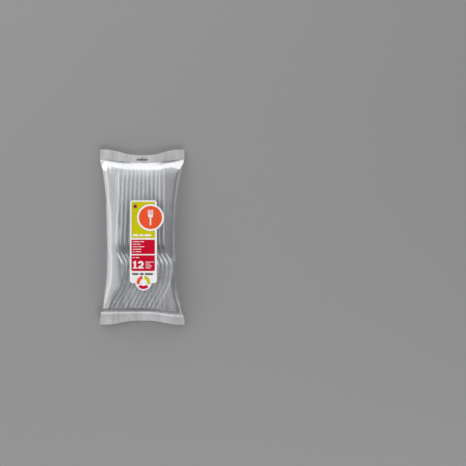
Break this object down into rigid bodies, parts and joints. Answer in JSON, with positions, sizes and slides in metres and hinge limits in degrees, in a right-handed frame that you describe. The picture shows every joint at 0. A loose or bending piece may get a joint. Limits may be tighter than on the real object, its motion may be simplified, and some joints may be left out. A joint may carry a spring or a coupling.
{
  "type": "plastic cutlery pack",
  "caption": "Sealed clear film pillow pack holding nested clear plastic forks, with a printed front, crimped end seals and a hang slot.",
  "frame": {"origin": "middle of the pack's outline, on the surface that its back lies on", "axes": "+Y from the forks' tines towards their handle ends and the hang slot, +Z out of the printed front, +X to the right seen from the front"},
  "size_m": [0.1084, 0.225, 0.027],
  "materials": {
    "film": "thin clear polypropylene film, glossy, milky where it is sealed",
    "fork_plastic": "clear moulded polystyrene, glossy"
  },
  "bodies": {
    "root": {"film_bag": "film", "fork_01": "fork_plastic", "fork_02": "fork_plastic", "fork_03": "fork_plastic", "fork_04": "fork_plastic", "fork_05": "fork_plastic", "fork_06": "fork_plastic", "fork_07": "fork_plastic", "fork_08": "fork_plastic", "fork_09": "fork_plastic", "fork_10": "fork_plastic", "fork_11": "fork_plastic", "fork_12": "fork_plastic"}
  },
  "joints": []
}
